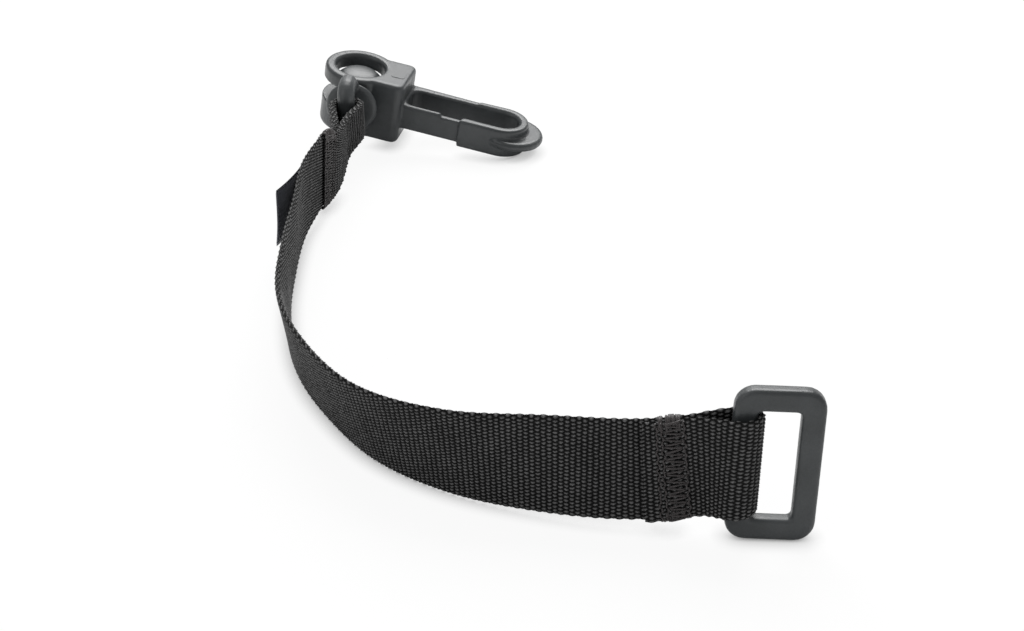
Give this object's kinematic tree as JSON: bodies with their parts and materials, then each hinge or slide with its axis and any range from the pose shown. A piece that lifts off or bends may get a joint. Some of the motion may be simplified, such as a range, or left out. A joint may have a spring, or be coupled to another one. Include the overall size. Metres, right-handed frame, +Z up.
{
  "type": "utility strap",
  "caption": "Curved length of black woven webbing with a moulded rectangular ring sewn in at one end and a swivelling plastic snap hook at the other.",
  "frame": {"origin": "middle of the footprint of the whole part, on the ground that it stands on", "axes": "+X to the right along the near branch towards the ring, +Y from the ring end to the hook end, +Z up, across the width of the webbing"},
  "size_m": [0.1332, 0.218, 0.0371],
  "materials": {
    "webbing": "coarse woven polyamide webbing, matt",
    "label_tag": "fine satin ribbon, slightly shiny",
    "ring_end_bartack": "dense sewing thread",
    "hook_end_bartack": "dense sewing thread",
    "rectangular_ring": "satin moulded plastic",
    "swivel_eye": "satin moulded plastic",
    "swivel_head": "satin moulded plastic",
    "hook_body": "satin moulded plastic"
  },
  "bodies": {
    "strap": {"webbing": "webbing", "label_tag": "label_tag", "ring_end_bartack": "ring_end_bartack", "hook_end_bartack": "hook_end_bartack"},
    "ring": {"rectangular_ring": "rectangular_ring"},
    "eye": {"swivel_eye": "swivel_eye"},
    "head": {"swivel_head": "swivel_head"},
    "hook": {"hook_body": "hook_body"}
  },
  "joints": [
    {"name": "ring_pivot", "type": "hinge", "parent": "strap", "child": "ring", "pos_m": [0.04891, -0.10286, 0.01871], "axis": [0.0257, 0.1368, 0.9903], "range_deg": [-150, 150]},
    {"name": "eye_pivot", "type": "hinge", "parent": "strap", "child": "eye", "pos_m": [-0.05181, 0.075, 0.0168], "axis": [-0.0019, -0.0231, 0.9997], "range_deg": [-80, 80]},
    {"name": "swivel_spin", "type": "hinge", "parent": "eye", "child": "head", "pos_m": [-0.05, 0.09742, 0.01732], "axis": [-0.0804, -0.9965, -0.0232], "continuous": true},
    {"name": "hook_orbit", "type": "hinge", "parent": "head", "child": "hook", "pos_m": [-0.05, 0.09742, 0.01732], "axis": [0.1628, -0.0361, 0.986], "range_deg": [-6, 200]}
  ]
}
